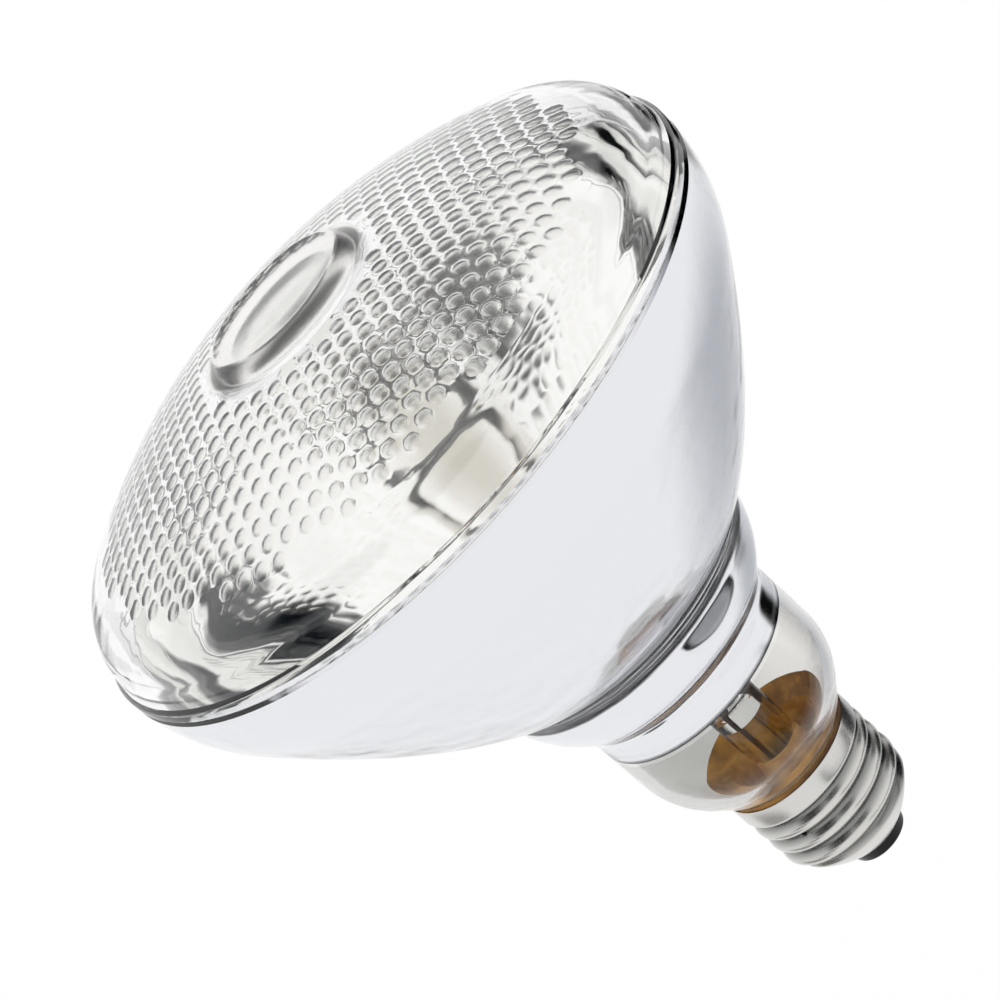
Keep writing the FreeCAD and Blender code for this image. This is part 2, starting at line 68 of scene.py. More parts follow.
# Dimples inside the lens: a honeycomb turned about the axis, each cell with rings of (depth, radius)
DIMPLE_PITCH = 3.75
DIMPLE_TURN = math.radians(20)
DIMPLE_FIELD = (18.0, 49.5)
DIMPLE_SHEET = 51.0
DIMPLE_RINGS = ((0.0, 1.66), (0.22, 1.1))
PRESSED_FROM = 0.03
FIELD_EDGE = 52.3

# Reflector
FOCAL_LENGTH = 17.0
MIRROR_VERTEX = 61.8
BOWL_WALL = 3.0
BOWL_HEEL = 25.0
BOWL_LOW = BOWL_HEEL + 2
BOWL_TOP = 53.6
MIRROR_TOP = BOWL_TOP - 1
GROOVE_STEP = 0.1
GROOVE_DROP = 1.2
GROOVE_REACH = 0.9
GROOVE_ROUND = 1.6
RIM_ROUND = 26.3
COLLAR_RADIUS = 26.3
COLLAR_TOP = 65.5
COLLAR_ROUND = 20.0
COLLAR_FOOT = 56.2
FOOT_RADIUS = 20.9
FOOT_ROUND = 4.5
COLLAR_WALL = 3.3
NECK_RADIUS = 19.6
NECK_WALL = 1.9
NECK_TOP = 53.0
NECK_EDGE = 0.4
NECK_BOTTOM = 41.0
HEEL_ROUND = 16.5
HEEL_RADIUS = 16.8
HEEL_HEIGHT = 32.0
CONE_RADIUS = 13.0
CONE_HEIGHT = 26.9
CONE_SHARES = (0.1, 0.5, 0.9)
THROAT_RADIUS = 11.3
THROAT_WALL = 1.6
THROAT_TOP = 26.0
THROAT_END = 14.0
THROAT_CHAMFER = 0.3

# Finishes: the mirror film, with painted shade in dark streaks in the corner over the collar, the cement
# and the nickel
FILM_FOOT = 48.5
FILM_EDGE = 0.9
STREAK = 0.7
STREAK_LENGTH = 14.0
STREAK_DRIFT = 2.0
CORNER_FULL = 70.5
CORNER_TOP = 78.0
CORNER_SHARE = 0.6
CORNER_SHADE_FROM = 0.8
CORNER_SHADE_TO = 1.2
STAIN_TOP = 30.4
SIDE_SHADE = 0.3
CEMENT_BLOTCH = 5.0
NICKEL_GRAIN = 0.8

# Stem and wires
STEM_RADIUS = 4.9
STEM_WALL = 1.2
SEAL_TOP = 15.5
FLARE_TOP = 27.5
CEMENT_REACH = 27.4
FLARE_ROUND = 17.4
BORE_TOP = 36.5
TUBE_TOP = 41.0
TUBE_ROUND = 1.5
PRESS_FOOT = BORE_TOP + 1
PRESS_TOP = 49.0
PRESS_WIDTH = 9.6
PRESS_DEPTH = 3.8
PRESS_BEVEL = 1.2
LEAD_AZIMUTH = math.radians(228)
FILAMENT_RADIUS = 9.0
COIL_RADIUS = 0.7
COIL_WIRE = 0.13
COIL_PITCH = 0.48
COIL_STEPS = 10
COIL_OVERRUN = math.radians(5)

# Cap
CAP_RADIUS = 13.1
CAP_RIM = 26.0
CAP_EDGE_STEP = 0.1
CAP_EDGE_HEIGHT = 0.3
SHEET_WALL = 0.35
THREAD_PITCH = 3.629
THREAD_DEPTH = 1.05
THREAD_FOOT = 9.9
THREAD_SPAN = (8.4, 22.9)
THREAD_FADE = 1.6
BAND_FOOT = 23.13
THREAD_POWER = 1.3
CAP_DOME_TOP = 10.0
CAP_DOME_INSET = SHEET_WALL * 0.72
CAP_DOME_LIFT = SHEET_WALL * 0.7
THREAD_START = CAP_DOME_TOP + 0.4
THREAD_ROWS = 54
LIP_RADIUS = 6.6
LIP_HEIGHT = 3.6
CAP_DOME_ROUND = 22.0
INSULATOR_TOP = CAP_DOME_TOP - 1
INSULATOR_RADIUS = CAP_RADIUS - 1.4
NOSE_RADIUS = 5.3
NOSE_HEIGHT = 0.8
NOSE_EDGE = 0.5
NOSE_SPREAD = 0.15
NOSE_RISE = 0.55
NOSE_ROUND = 0.7
CEMENT_GAP = 0.05
CEMENT_BULGE = 0.1
CEMENT_ROUND = 2.0
EYELET_RADIUS = 1.2
CONTACT_RADIUS = 4.0
CONTACT_HEIGHT = 0.35
CONTACT_ROUND = 0.3
LEAD_RADIUS = 0.4
SOLDER_RADIUS = 2.6
SOLDER_FLAT = 1.5
SOLDER_ROUND = 1.6
PUNCH_HEIGHT = 17.4
PUNCH_RADIUS = 0.8
PUNCH_DEPTH = 0.5

# Camera that gives the photograph's view
CAMERA_PLACE = (-0.09, -486.4, 298.7)
CAMERA_DOWN = math.radians(22.857)
CAMERA_ROLL = math.radians(48.4855)
CAMERA_LENS = 120.29
CAMERA_SENSOR = 36.0
CAMERA_CLIP = (0.01, 50)

# Stage: a card's rim and edge are shares of its width, and slants run from 0, square on, to 1
LAMP_MIDDLE = (0, 0, 72)
CARD_DISTANCE = 460
CARD_RIM = (0.3, 0.4)
CARD_EDGE = 0.5
SLANT_FADE = 0.15
ANY_SLANT = (-SLANT_FADE, 0.5)
LEVEL_SLANT = (-SLANT_FADE, 0.3)
STEEP_SLANT = (0.1, 0.68)
FLOOR_HEIGHT = -420.0
FLOOR_SIZE = 12000.0

# Meshing: how many steps a turned piece has, what angle stays sharp, and what gap is closed, in metres
SPIN_STEPS = 160
SHELL_STEPS = 144
CEMENT_STEPS = 120
SMALL_GLASS_STEPS = 96
CONTACT_STEPS = 72
SHARP_ANGLE = math.radians(30)
STEM_SHARP = math.radians(35)
LENS_SHARP = math.radians(40)
SHELL_SHARP = math.radians(50)
WELD = 1e-6
SHEET_WELD = 1e-5


# Profiles: lists of (radius, height) points in millimetres

def arc(start, stop, radius, count):
    """Points after start up to stop on an arc that turns left where radius is positive."""
    start, stop = Vector(start), Vector(stop)
    chord = stop - start
    rise = math.sqrt(max(radius ** 2 - (chord.length / 2) ** 2, 0))
    left = Vector((-chord.y, chord.x)).normalized()
    centre = (start + stop) / 2 + left * math.copysign(rise, radius)
    spoke = start - centre
    sweep = 2 * math.asin(min(chord.length / (2 * abs(radius)), 1)) * math.copysign(1, radius)
    points = []
    for step in range(1, count + 1):
        swung = spoke.copy()
        swung.rotate(Matrix.Rotation(sweep * step / count, 2))
        points.append(tuple(centre + swung))
    return points


def mirror_place(radius):
    """A place on the paraboloid mirror."""
    return radius, MIRROR_VERTEX + radius ** 2 / (4 * FOCAL_LENGTH)


def glass_place(radius):
    """The place on the bowl's outside behind a place on the mirror."""
    steep = radius / (2 * FOCAL_LENGTH)
    slant = math.hypot(1, steep)
    across, up = mirror_place(radius)
    return across + BOWL_WALL * steep / slant, up - BOWL_WALL / slant


def spaced(first, last, count):
    """Evenly spaced numbers from first to last."""
    return [first + (last - first) * step / (count - 1) for step in range(count)]


def between(start, stop, share):
    """The place at a share of the way from one place to another."""
    return tuple(low + (high - low) * share for low, high in zip(start, stop))


def dome_place(ball, radius):
    """A place on one of the lens's two domes."""
    return radius, DOME_CENTRE + math.sqrt(ball ** 2 - radius ** 2)


def shoulder(side, ball, radius, count):
    """Points of the round between the lens's side wall, from the seam, and a dome."""
    climb = Vector((-math.sin(SKIRT_TAPER), math.cos(SKIRT_TAPER)))
    inward = Vector((-math.cos(SKIRT_TAPER), -math.sin(SKIRT_TAPER)))
    start = Vector((side, SEAM_HEIGHT - DOME_CENTRE)) + inward * radius
    along = start.dot(climb)
    run = -along + math.sqrt(along ** 2 - start.length_squared + (ball - radius) ** 2)
    centre = start + climb * run
    low = centre - inward * radius
    high = centre.normalized() * ball
    lift = Vector((0, DOME_CENTRE))
    return [tuple(low + lift)] + arc(low + lift, high + lift, radius, count)


# Modelling

def deselect():
    """Leave nothing selected."""
    bpy.ops.object.select_all(action="DESELECT")


def first_point(name, place):
    """A new piece in edit mode that is one point, to extrude from."""
    deselect()
    bpy.ops.mesh.primitive_plane_add(size=MM)
    piece = bpy.context.object
    piece.name = name
    bpy.ops.object.mode_set(mode="EDIT")
    bpy.ops.mesh.select_mode(type="VERT")
    bpy.ops.mesh.select_all(action="SELECT")
    bpy.ops.mesh.merge(type="CENTER")
    bpy.ops.transform.translate(value=place)
    return piece


def turned(name, profile, steps=SPIN_STEPS, sharp_angle=SHARP_ANGLE):
    """A closed piece spun about Z from the corners of its half section."""
    places = [Vector((across, 0, up)) * MM for across, up in profile]
    piece = first_point(name, places[0])
    for before, after in zip(places, places[1:] + places[:1]):
        bpy.ops.mesh.extrude_region_move(TRANSFORM_OT_translate={"value": after - before})
    bpy.ops.mesh.select_all(action="SELECT")
    bpy.ops.mesh.remove_doubles(threshold=WELD)
    bpy.ops.mesh.spin(steps=steps, angle=2 * math.pi, center=(0, 0, 0), axis=(0, 0, 1))
    bpy.ops.mesh.select_all(action="SELECT")
    bpy.ops.mesh.remove_doubles(threshold=WELD)
    bpy.ops.mesh.normals_make_consistent(inside=False)
    bpy.ops.object.mode_set(mode="OBJECT")
    bpy.ops.object.shade_smooth_by_angle(angle=sharp_angle)
    return piece


def select_faces(piece, wanted):
    """Select the faces of the piece in edit mode that are wanted, and nothing else."""
    bpy.ops.mesh.select_mode(type="FACE")
    bpy.ops.mesh.select_all(action="DESELECT")
    bpy.ops.object.mode_set(mode="OBJECT")
    for face in piece.data.polygons:
        face.select = wanted(face)
    bpy.ops.object.mode_set(mode="EDIT")


def select_open_edge():
    """Select the open edge of the piece in edit mode."""
    bpy.ops.mesh.select_mode(type="EDGE")
    bpy.ops.mesh.select_all(action="DESELECT")
    bpy.ops.mesh.select_non_manifold(extend=False, use_wire=False, use_multi_face=False,
                                     use_non_contiguous=False, use_verts=False)


def dress(piece, slot, *materials):
    """Give a piece its materials and its body; the slot is not used."""
    piece.data.materials.clear()
    for material in materials:
        piece.data.materials.append(material)
    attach(piece, "root")


# Materials

def linear(hex_colour):
    """Linear colour from an sRGB hex value."""
    channels = [int(hex_colour[place:place + 2], 16) / 255 for place in (1, 3, 5)]
    return tuple(c / 12.92 if c <= 0.04045 else ((c + 0.055) / 1.055) ** 2.4 for c in channels) + (1,)


def add_node(tree, kind, inputs=None, **settings):
    """Add a node with its settings, and set or link its inputs."""
    node = tree.nodes.new(kind)
    for name, value in settings.items():
        setattr(node, name, value)
    for name, value in (inputs or {}).items():
        if isinstance(value, bpy.types.NodeSocket):
            tree.links.new(value, node.inputs[name])
        else:
            node.inputs[name].default_value = value
    return node


def new_material(name):
    """A material with its tree, its shader and the piece's coordinates."""
    material = bpy.data.materials.new(name)
    material.use_nodes = True
    tree = material.node_tree
    shader = tree.nodes["Principled BSDF"]
    place = add_node(tree, "ShaderNodeTexCoord").outputs["Object"]
    return material, tree, shader, place


def ripple(tree, place, size_mm, depth_mm):
    """Bump of soft waves of a given width and height."""
    waves = add_node(tree, "ShaderNodeTexNoise", {
        "Vector": place, "Scale": 1 / (size_mm * MM), "Detail": 1.0,
    })
    return add_node(tree, "ShaderNodeBump", {
        "Height": waves.outputs["Fac"], "Distance": depth_mm * MM, "Strength": 1.0,
    }).outputs["Normal"]


def axis_reach(tree, place):
    """The distance from the lamp's axis."""
    flat = add_node(tree, "ShaderNodeVectorMath", {0: place, 1: (1, 1, 0)}, operation="MULTIPLY")
    reach = add_node(tree, "ShaderNodeVectorMath", {0: flat.outputs["Vector"]}, operation="LENGTH")
    return reach.outputs["Value"]


def new_glass(name, roughness):
    """A clear borosilicate glass that lets soft light through to what lies behind it."""
    material, tree, shader, place = new_material(name)
    shader.inputs["Roughness"].default_value = roughness
    shader.inputs["IOR"].default_value = GLASS_IOR
    shader.inputs["Transmission Weight"].default_value = 1.0
    ray = add_node(tree, "ShaderNodeLightPath").outputs
    soft = add_node(tree, "ShaderNodeMath", {
        0: ray["Is Shadow Ray"], 1: ray["Is Diffuse Ray"],
    }, operation="MAXIMUM")
    clear = add_node(tree, "ShaderNodeBsdfTransparent")
    either = add_node(tree, "ShaderNodeMixShader", {
        0: soft.outputs["Value"], 1: shader.outputs["BSDF"], 2: clear.outputs["BSDF"],
    })
    tree.links.new(either.outputs["Shader"], tree.nodes["Material Output"].inputs["Surface"])
    return material, tree, shader, place


def pressed_glass():
    """Clear borosilicate glass, pressed in a mould: sharp, colourless, with faint waves."""
    material, tree, shader, place = new_glass("pressed borosilicate glass", 0.0)
    shader.inputs["Base Color"].default_value = linear("#ffffff")
    tree.links.new(ripple(tree, place, size_mm=7, depth_mm=0.06), shader.inputs["Normal"])
    return material


def etched_glass(name, roughness):
    """Pressed glass with a fine matt skin from the mould: it blurs what lies behind to a soft tone.

    The skin's grain is drawn coarser than it is, so that it shows.
    """
    material, tree, shader, place = new_glass(name, roughness)
    shader.inputs["Base Color"].default_value = linear("#fbfaf7")
    tree.links.new(ripple(tree, place, size_mm=0.35, depth_mm=0.01), shader.inputs["Normal"])
    return material


def hazed_side_shaded_glass():
    """Glass with a breath of metal on it: clear, with few reflections, and greyer on one side, where the
    grey is painted shade.
    """
    material, tree, shader, place = new_glass("hazed borosilicate glass with painted side shade", 0.0)
    side = add_node(tree, "ShaderNodeSeparateXYZ", {"Vector": place}).outputs["X"]
    # Painted shade: the tint is greyer towards the neck's -X side.
    neck_side_shade = add_node(tree, "ShaderNodeMapRange", {
        "Value": side, "From Min": -NECK_RADIUS / 2 * MM, "From Max": NECK_RADIUS * MM,
    }, interpolation_type="SMOOTHSTEP")
    tint = add_node(tree, "ShaderNodeMix", {
        "Factor": neck_side_shade.outputs["Result"], "A": linear("#d3d3d1"), "B": linear("#f6f5f3"),
    }, data_type="RGBA")
    tree.links.new(tint.outputs["Result"], shader.inputs["Base Color"])
    shader.inputs["Specular Tint"].default_value = linear("#5a5a5a")
    return material


def mirror_film():
    """Evaporated aluminium: a bright mirror, greyer through the glass, dark where it ends at its foot, and
    with painted shade, dark and streaky, in the corner over the collar.
    """
    material, tree, shader, place = new_material("evaporated aluminium film")
    behind = add_node(tree, "ShaderNodeNewGeometry").outputs["Backfacing"]
    full = add_node(tree, "ShaderNodeMix", {
        "Factor": behind, "A": linear("#fbfbf9"), "B": linear("#e8e9ed"),
    }, data_type="RGBA").outputs["Result"]
    height = add_node(tree, "ShaderNodeSeparateXYZ", {"Vector": place}).outputs["Z"]
    drift = add_node(tree, "ShaderNodeTexNoise", {"Vector": place, "Scale": 1 / (STREAK_LENGTH * MM)})
    slide = add_node(tree, "ShaderNodeMath", {
        0: drift.outputs["Fac"], 1: STREAK_DRIFT * MM,
    }, operation="MULTIPLY")
    along = add_node(tree, "ShaderNodeCombineXYZ", {
        "X": axis_reach(tree, place), "Y": height, "Z": slide.outputs["Value"],
    })
    streaks = add_node(tree, "ShaderNodeTexNoise", {
        "Vector": along.outputs["Vector"], "Scale": 1 / (STREAK * MM), "Detail": 2.0,
    }).outputs["Fac"]
    edge = add_node(tree, "ShaderNodeMapRange", {
        "Value": height, "From Min": FILM_FOOT * MM, "From Max": (FILM_FOOT + FILM_EDGE) * MM,
        "To Min": 1.0, "To Max": 0.0,
    }, interpolation_type="SMOOTHSTEP").outputs["Result"]
    # Painted shade: dark streaks in the corner where the collar meets the bowl, mixed below with the film's
    # real dark foot.
    above = add_node(tree, "ShaderNodeMapRange", {
        "Value": height, "From Min": (COLLAR_TOP - FILM_EDGE) * MM, "From Max": COLLAR_TOP * MM,
    }, interpolation_type="SMOOTHSTEP").outputs["Result"]
    below = add_node(tree, "ShaderNodeMapRange", {
        "Value": height, "From Min": CORNER_TOP * MM, "From Max": CORNER_FULL * MM,
    }, interpolation_type="SMOOTHSTEP").outputs["Result"]
    corner = add_node(tree, "ShaderNodeMath", {0: above, 1: below}, operation="MULTIPLY").outputs["Value"]
    ragged = add_node(tree, "ShaderNodeMath", {
        0: corner, 1: CORNER_SHARE, 2: streaks,
    }, operation="MULTIPLY_ADD")
    corner_shade = add_node(tree, "ShaderNodeMapRange", {
        "Value": ragged.outputs["Value"], "From Min": CORNER_SHADE_FROM, "From Max": CORNER_SHADE_TO,
    }, interpolation_type="SMOOTHSTEP")
    film_end_and_shade = add_node(tree, "ShaderNodeMath", {0: corner_shade.outputs["Result"], 1: edge}, operation="MAXIMUM")
    tone = add_node(tree, "ShaderNodeMix", {
        "Factor": film_end_and_shade.outputs["Value"], "A": full, "B": linear("#161618"),
    }, data_type="RGBA")
    tree.links.new(tone.outputs["Result"], shader.inputs["Base Color"])
    shader.inputs["Metallic"].default_value = 1.0
    rough = add_node(tree, "ShaderNodeMapRange", {"Value": behind, "To Min": 0.04, "To Max": 0.05})
    tree.links.new(rough.outputs["Result"], shader.inputs["Roughness"])
    tree.links.new(ripple(tree, place, size_mm=9, depth_mm=0.06), shader.inputs["Normal"])
    return material


def punch_place(radius):
    """The place of the cap's punch mark at a distance from the axis."""
    return Vector((radius * math.cos(LEAD_AZIMUTH), radius * math.sin(LEAD_AZIMUTH), PUNCH_HEIGHT)) * MM


def nickel_plate():
    """Nickel-plated brass sheet, rolled: satin, pale on the crests, with painted shade in the grooves and
    the punch mark.

    Its grain is drawn coarser than it is, so that it shows.
    """
    material, tree, shader, place = new_material("nickel plated brass")
    # Painted shade: the grooves are coloured darker than the crests and the plain part below the thread.
    painted_groove_shade = add_node(tree, "ShaderNodeMapRange", {
        "Value": axis_reach(tree, place),
        "From Min": (CAP_RADIUS - THREAD_DEPTH) * MM, "From Max": CAP_RADIUS * MM,
    })
    height = add_node(tree, "ShaderNodeSeparateXYZ", {"Vector": place}).outputs["Z"]
    plain = add_node(tree, "ShaderNodeMapRange", {
        "Value": height, "From Min": THREAD_FOOT * MM, "From Max": THREAD_SPAN[0] * MM,
    })
    bright = add_node(tree, "ShaderNodeMath", {
        0: painted_groove_shade.outputs["Result"], 1: plain.outputs["Result"],
    }, operation="MAXIMUM")
    tone = add_node(tree, "ShaderNodeMix", {
        "Factor": bright.outputs["Value"], "A": linear("#80807e"), "B": linear("#d4d3d0"),
    }, data_type="RGBA")
    # Painted shade: the punch mark's pit is coloured near black.
    punch = punch_place(CAP_RADIUS - THREAD_DEPTH - PUNCH_DEPTH / 2)
    away = add_node(tree, "ShaderNodeVectorMath", {0: place, 1: punch}, operation="DISTANCE")
    painted_pit_shade = add_node(tree, "ShaderNodeMapRange", {
        "Value": away.outputs["Value"], "From Min": PUNCH_RADIUS * MM, "From Max": PUNCH_RADIUS / 2 * MM,
    }, interpolation_type="SMOOTHSTEP")
    pit_shaded = add_node(tree, "ShaderNodeMix", {
        "Factor": painted_pit_shade.outputs["Result"], "A": tone.outputs["Result"], "B": linear("#121212"),
    }, data_type="RGBA")
    tree.links.new(pit_shaded.outputs["Result"], shader.inputs["Base Color"])
    shader.inputs["Metallic"].default_value = 1.0
    grain = add_node(tree, "ShaderNodeTexNoise", {
        "Vector": place, "Scale": 1 / (NICKEL_GRAIN * MM), "Detail": 3.0,
    })
    rough = add_node(tree, "ShaderNodeMapRange", {
        "Value": grain.outputs["Fac"], "To Min": 0.2, "To Max": 0.32,
    })
    tree.links.new(rough.outputs["Result"], shader.inputs["Roughness"])
    return material


def black_glass():
    """Black insulating glass, cast into the cap: deep black with a weak, soft shine."""
    material, _, shader, _ = new_material("black insulating glass")
    shader.inputs["Base Color"].default_value = linear("#060606")
    shader.inputs["Roughness"].default_value = 0.22
    shader.inputs["Specular IOR Level"].default_value = 0.12
    return material


def basing_cement(name, dark, light):
    """Baked resin cement: matt brown, blotchy and grainy, and darker on one side, which is painted shade.
    """
    material, tree, shader, place = new_material(name)
    blotch = add_node(tree, "ShaderNodeTexNoise", {
        "Vector": place, "Scale": 1 / (CEMENT_BLOTCH * MM), "Detail": 4.0,
    })
    # Painted shade: the cement darkens towards its +X side.
    side = add_node(tree, "ShaderNodeSeparateXYZ", {"Vector": place}).outputs["X"]
    painted_side_shade = add_node(tree, "ShaderNodeMapRange", {
        "Value": side, "From Min": 0.0, "From Max": CONE_RADIUS * MM, "To Min": 0.0, "To Max": SIDE_SHADE,
    })
    shade = add_node(tree, "ShaderNodeMath", {
        0: blotch.outputs["Fac"], 1: painted_side_shade.outputs["Result"],
    }, operation="SUBTRACT")
    ramp = add_node(tree, "ShaderNodeValToRGB", {"Fac": shade.outputs["Value"]})
    ramp.color_ramp.elements[0].color = linear(dark)
    ramp.color_ramp.elements[0].position = 0.3
    ramp.color_ramp.elements[1].color = linear(light)
    ramp.color_ramp.elements[1].position = 0.72
    tree.links.new(ramp.outputs["Color"], shader.inputs["Base Color"])
    shader.inputs["Roughness"].default_value = 0.75
    tree.links.new(ripple(tree, place, size_mm=0.6, depth_mm=0.12), shader.inputs["Normal"])
    return material


def plain_metal(name, colour, roughness):
    """A bare metal with a faint grain, drawn coarser than it is, so that it shows."""
    material, tree, shader, place = new_material(name)
    shader.inputs["Base Color"].default_value = linear(colour)
    shader.inputs["Metallic"].default_value = 1.0
    shader.inputs["Roughness"].default_value = roughness
    tree.links.new(ripple(tree, place, size_mm=0.4, depth_mm=0.01), shader.inputs["Normal"])
    return material


# Pieces

def make_dimpled_sheet():
    """The lens's inner dome: a honeycomb sheet whose cells are pressed to dimples."""
    cell = DIMPLE_PITCH / math.sqrt(3)
    count = 2 * math.ceil(DIMPLE_SHEET / DIMPLE_PITCH * 2 / math.sqrt(3)) + 1
    rows = [Vector((math.cos(turn), math.sin(turn), 0)) * DIMPLE_PITCH * MM
            for turn in (DIMPLE_TURN, DIMPLE_TURN + math.radians(60))]
    corner = -(rows[0] + rows[1]) * (count - 1) / 2
    deselect()
    bpy.ops.mesh.primitive_circle_add(vertices=6, radius=cell * MM, fill_type="NGON", location=corner,
                                      rotation=(0, 0, DIMPLE_TURN))
    sheet = bpy.context.object
    sheet.name = "lens"
    bpy.ops.object.transform_apply(location=True, rotation=True, scale=True)
    for row in rows:
        repeat = sheet.modifiers.new("row", "ARRAY")
        repeat.count = count
        repeat.use_relative_offset = False
        repeat.use_constant_offset = True
        repeat.constant_offset_displace = row
        repeat.use_merge_vertices = True
        repeat.merge_threshold = SHEET_WELD
        bpy.ops.object.modifier_apply(modifier=repeat.name)
    bpy.ops.object.mode_set(mode="EDIT")
    bpy.ops.mesh.select_all(action="SELECT")
    bpy.ops.mesh.remove_doubles(threshold=SHEET_WELD)
    select_faces(sheet, lambda face: face.center.to_2d().length > DIMPLE_SHEET * MM)
    bpy.ops.mesh.delete(type="FACE")
    bpy.ops.object.mode_set(mode="OBJECT")
    ball = DOME_RADIUS - LENS_WALL
    for vertex in sheet.data.vertices:
        vertex.co.z = dome_place(ball, vertex.co.to_2d().length / MM)[1] * MM
    bpy.ops.object.mode_set(mode="EDIT")
    low, high = DIMPLE_FIELD
    select_faces(sheet, lambda face: low * MM < face.center.to_2d().length < high * MM)
    reach, depth = cell, 0
    share = math.cos(math.radians(30))
    for ring_depth, radius in DIMPLE_RINGS:
        bpy.ops.mesh.inset(thickness=(reach - radius) * share * MM, depth=(ring_depth - depth) * MM,
                           use_individual=True)
        reach, depth = radius, ring_depth
    bpy.ops.object.mode_set(mode="OBJECT")
    soften = sheet.modifiers.new("soften", "SUBSURF")
    soften.levels = 1
    soften.render_levels = 1
    bpy.ops.object.modifier_apply(modifier=soften.name)
    return sheet


def make_lens(glass, film, pad_glass, dimple_glass):
    """The dimpled sheet, carried on ring by ring over the skirt and the dome to the middle of the pad."""
    lens = make_dimpled_sheet()
    inner_ball = DOME_RADIUS - LENS_WALL
    inner_side = RIM_RADIUS - RIM_WALL
    inner_round = shoulder(inner_side, inner_ball, SHOULDER_ROUND - LENS_WALL, count=8)
    outer_round = shoulder(RIM_RADIUS, DOME_RADIUS, SHOULDER_ROUND, count=12)
    foot_height = dome_place(DOME_RADIUS, PAD_FOOT)[1]
    rings = [dome_place(inner_ball, FIELD_EDGE)]
    rings += inner_round[::-1]
    ledge = SEAM_HEIGHT + LEDGE_HEIGHT
    taper = (LEDGE_HEIGHT + LEDGE_STEP) * math.tan(SKIRT_TAPER)
    rings += [(inner_side, SEAM_HEIGHT), (RIM_RADIUS - RIM_CHAMFER, SEAM_HEIGHT)]
    rings += [(RIM_RADIUS, SEAM_HEIGHT + RIM_CHAMFER)]
    rings += [(RIM_RADIUS, ledge - LEDGE_STEP), (RIM_RADIUS - LEDGE_STEP / 2, ledge)]
    rings += [(RIM_RADIUS - taper, ledge + LEDGE_STEP)]
    rings += outer_round
    dome_edge = outer_round[-1][0] - DOME_STEP
    rings += [dome_place(DOME_RADIUS, radius) for radius in spaced(dome_edge, PAD_FOOT, count=13)]
    for share in spaced(PAD_SWEEP_START, 1, count=8):
        across = PAD_FOOT + (PAD_EDGE - PAD_FOOT) * share
        rings.append((across, foot_height + (PAD_TOP - foot_height) * share ** PAD_SWEEP))
    rings += [(PAD_EDGE - PAD_LIP, PAD_TOP), (PAD_EDGE - PAD_LIP_FOOT, PAD_TOP - PAD_DISH)]
    rings += [(radius, PAD_TOP - PAD_DISH) for radius in PAD_RINGS]
    bpy.ops.object.mode_set(mode="EDIT")
    select_open_edge()
    for across, up in rings:
        bpy.ops.mesh.extrude_edges_move()
        bpy.ops.object.mode_set(mode="OBJECT")
        for vertex in lens.data.vertices:
            if vertex.select:
                way = vertex.co.to_2d().normalized() * across * MM
                vertex.co = (way.x, way.y, up * MM)
        bpy.ops.object.mode_set(mode="EDIT")
    bpy.ops.mesh.merge(type="CENTER")
    bpy.ops.mesh.select_all(action="SELECT")
    bpy.ops.mesh.normals_make_consistent(inside=False)
    bpy.ops.object.mode_set(mode="OBJECT")
    bpy.ops.object.shade_smooth_by_angle(angle=LENS_SHARP)
    dress(lens, "clear_glass", glass, film, pad_glass, dimple_glass)
    filmed, on_pad, in_dimple = 1, 2, 3
    dome_middle = Vector((0, 0, DOME_CENTRE * MM))
    for face in lens.data.polygons:
        pressed = (face.center - dome_middle).length / MM - inner_ball
        if face.normal.z < 0 and PRESSED_FROM < pressed < LENS_WALL / 2:
            face.material_index = in_dimple
        elif face.center.z < (SEAM_HEIGHT + SEAM_FILM) * MM:
            face.material_index = filmed
        elif face.normal.z > 0 and face.center.to_2d().length < PAD_FOOT * MM:
            face.material_index = on_pad
    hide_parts("lens")


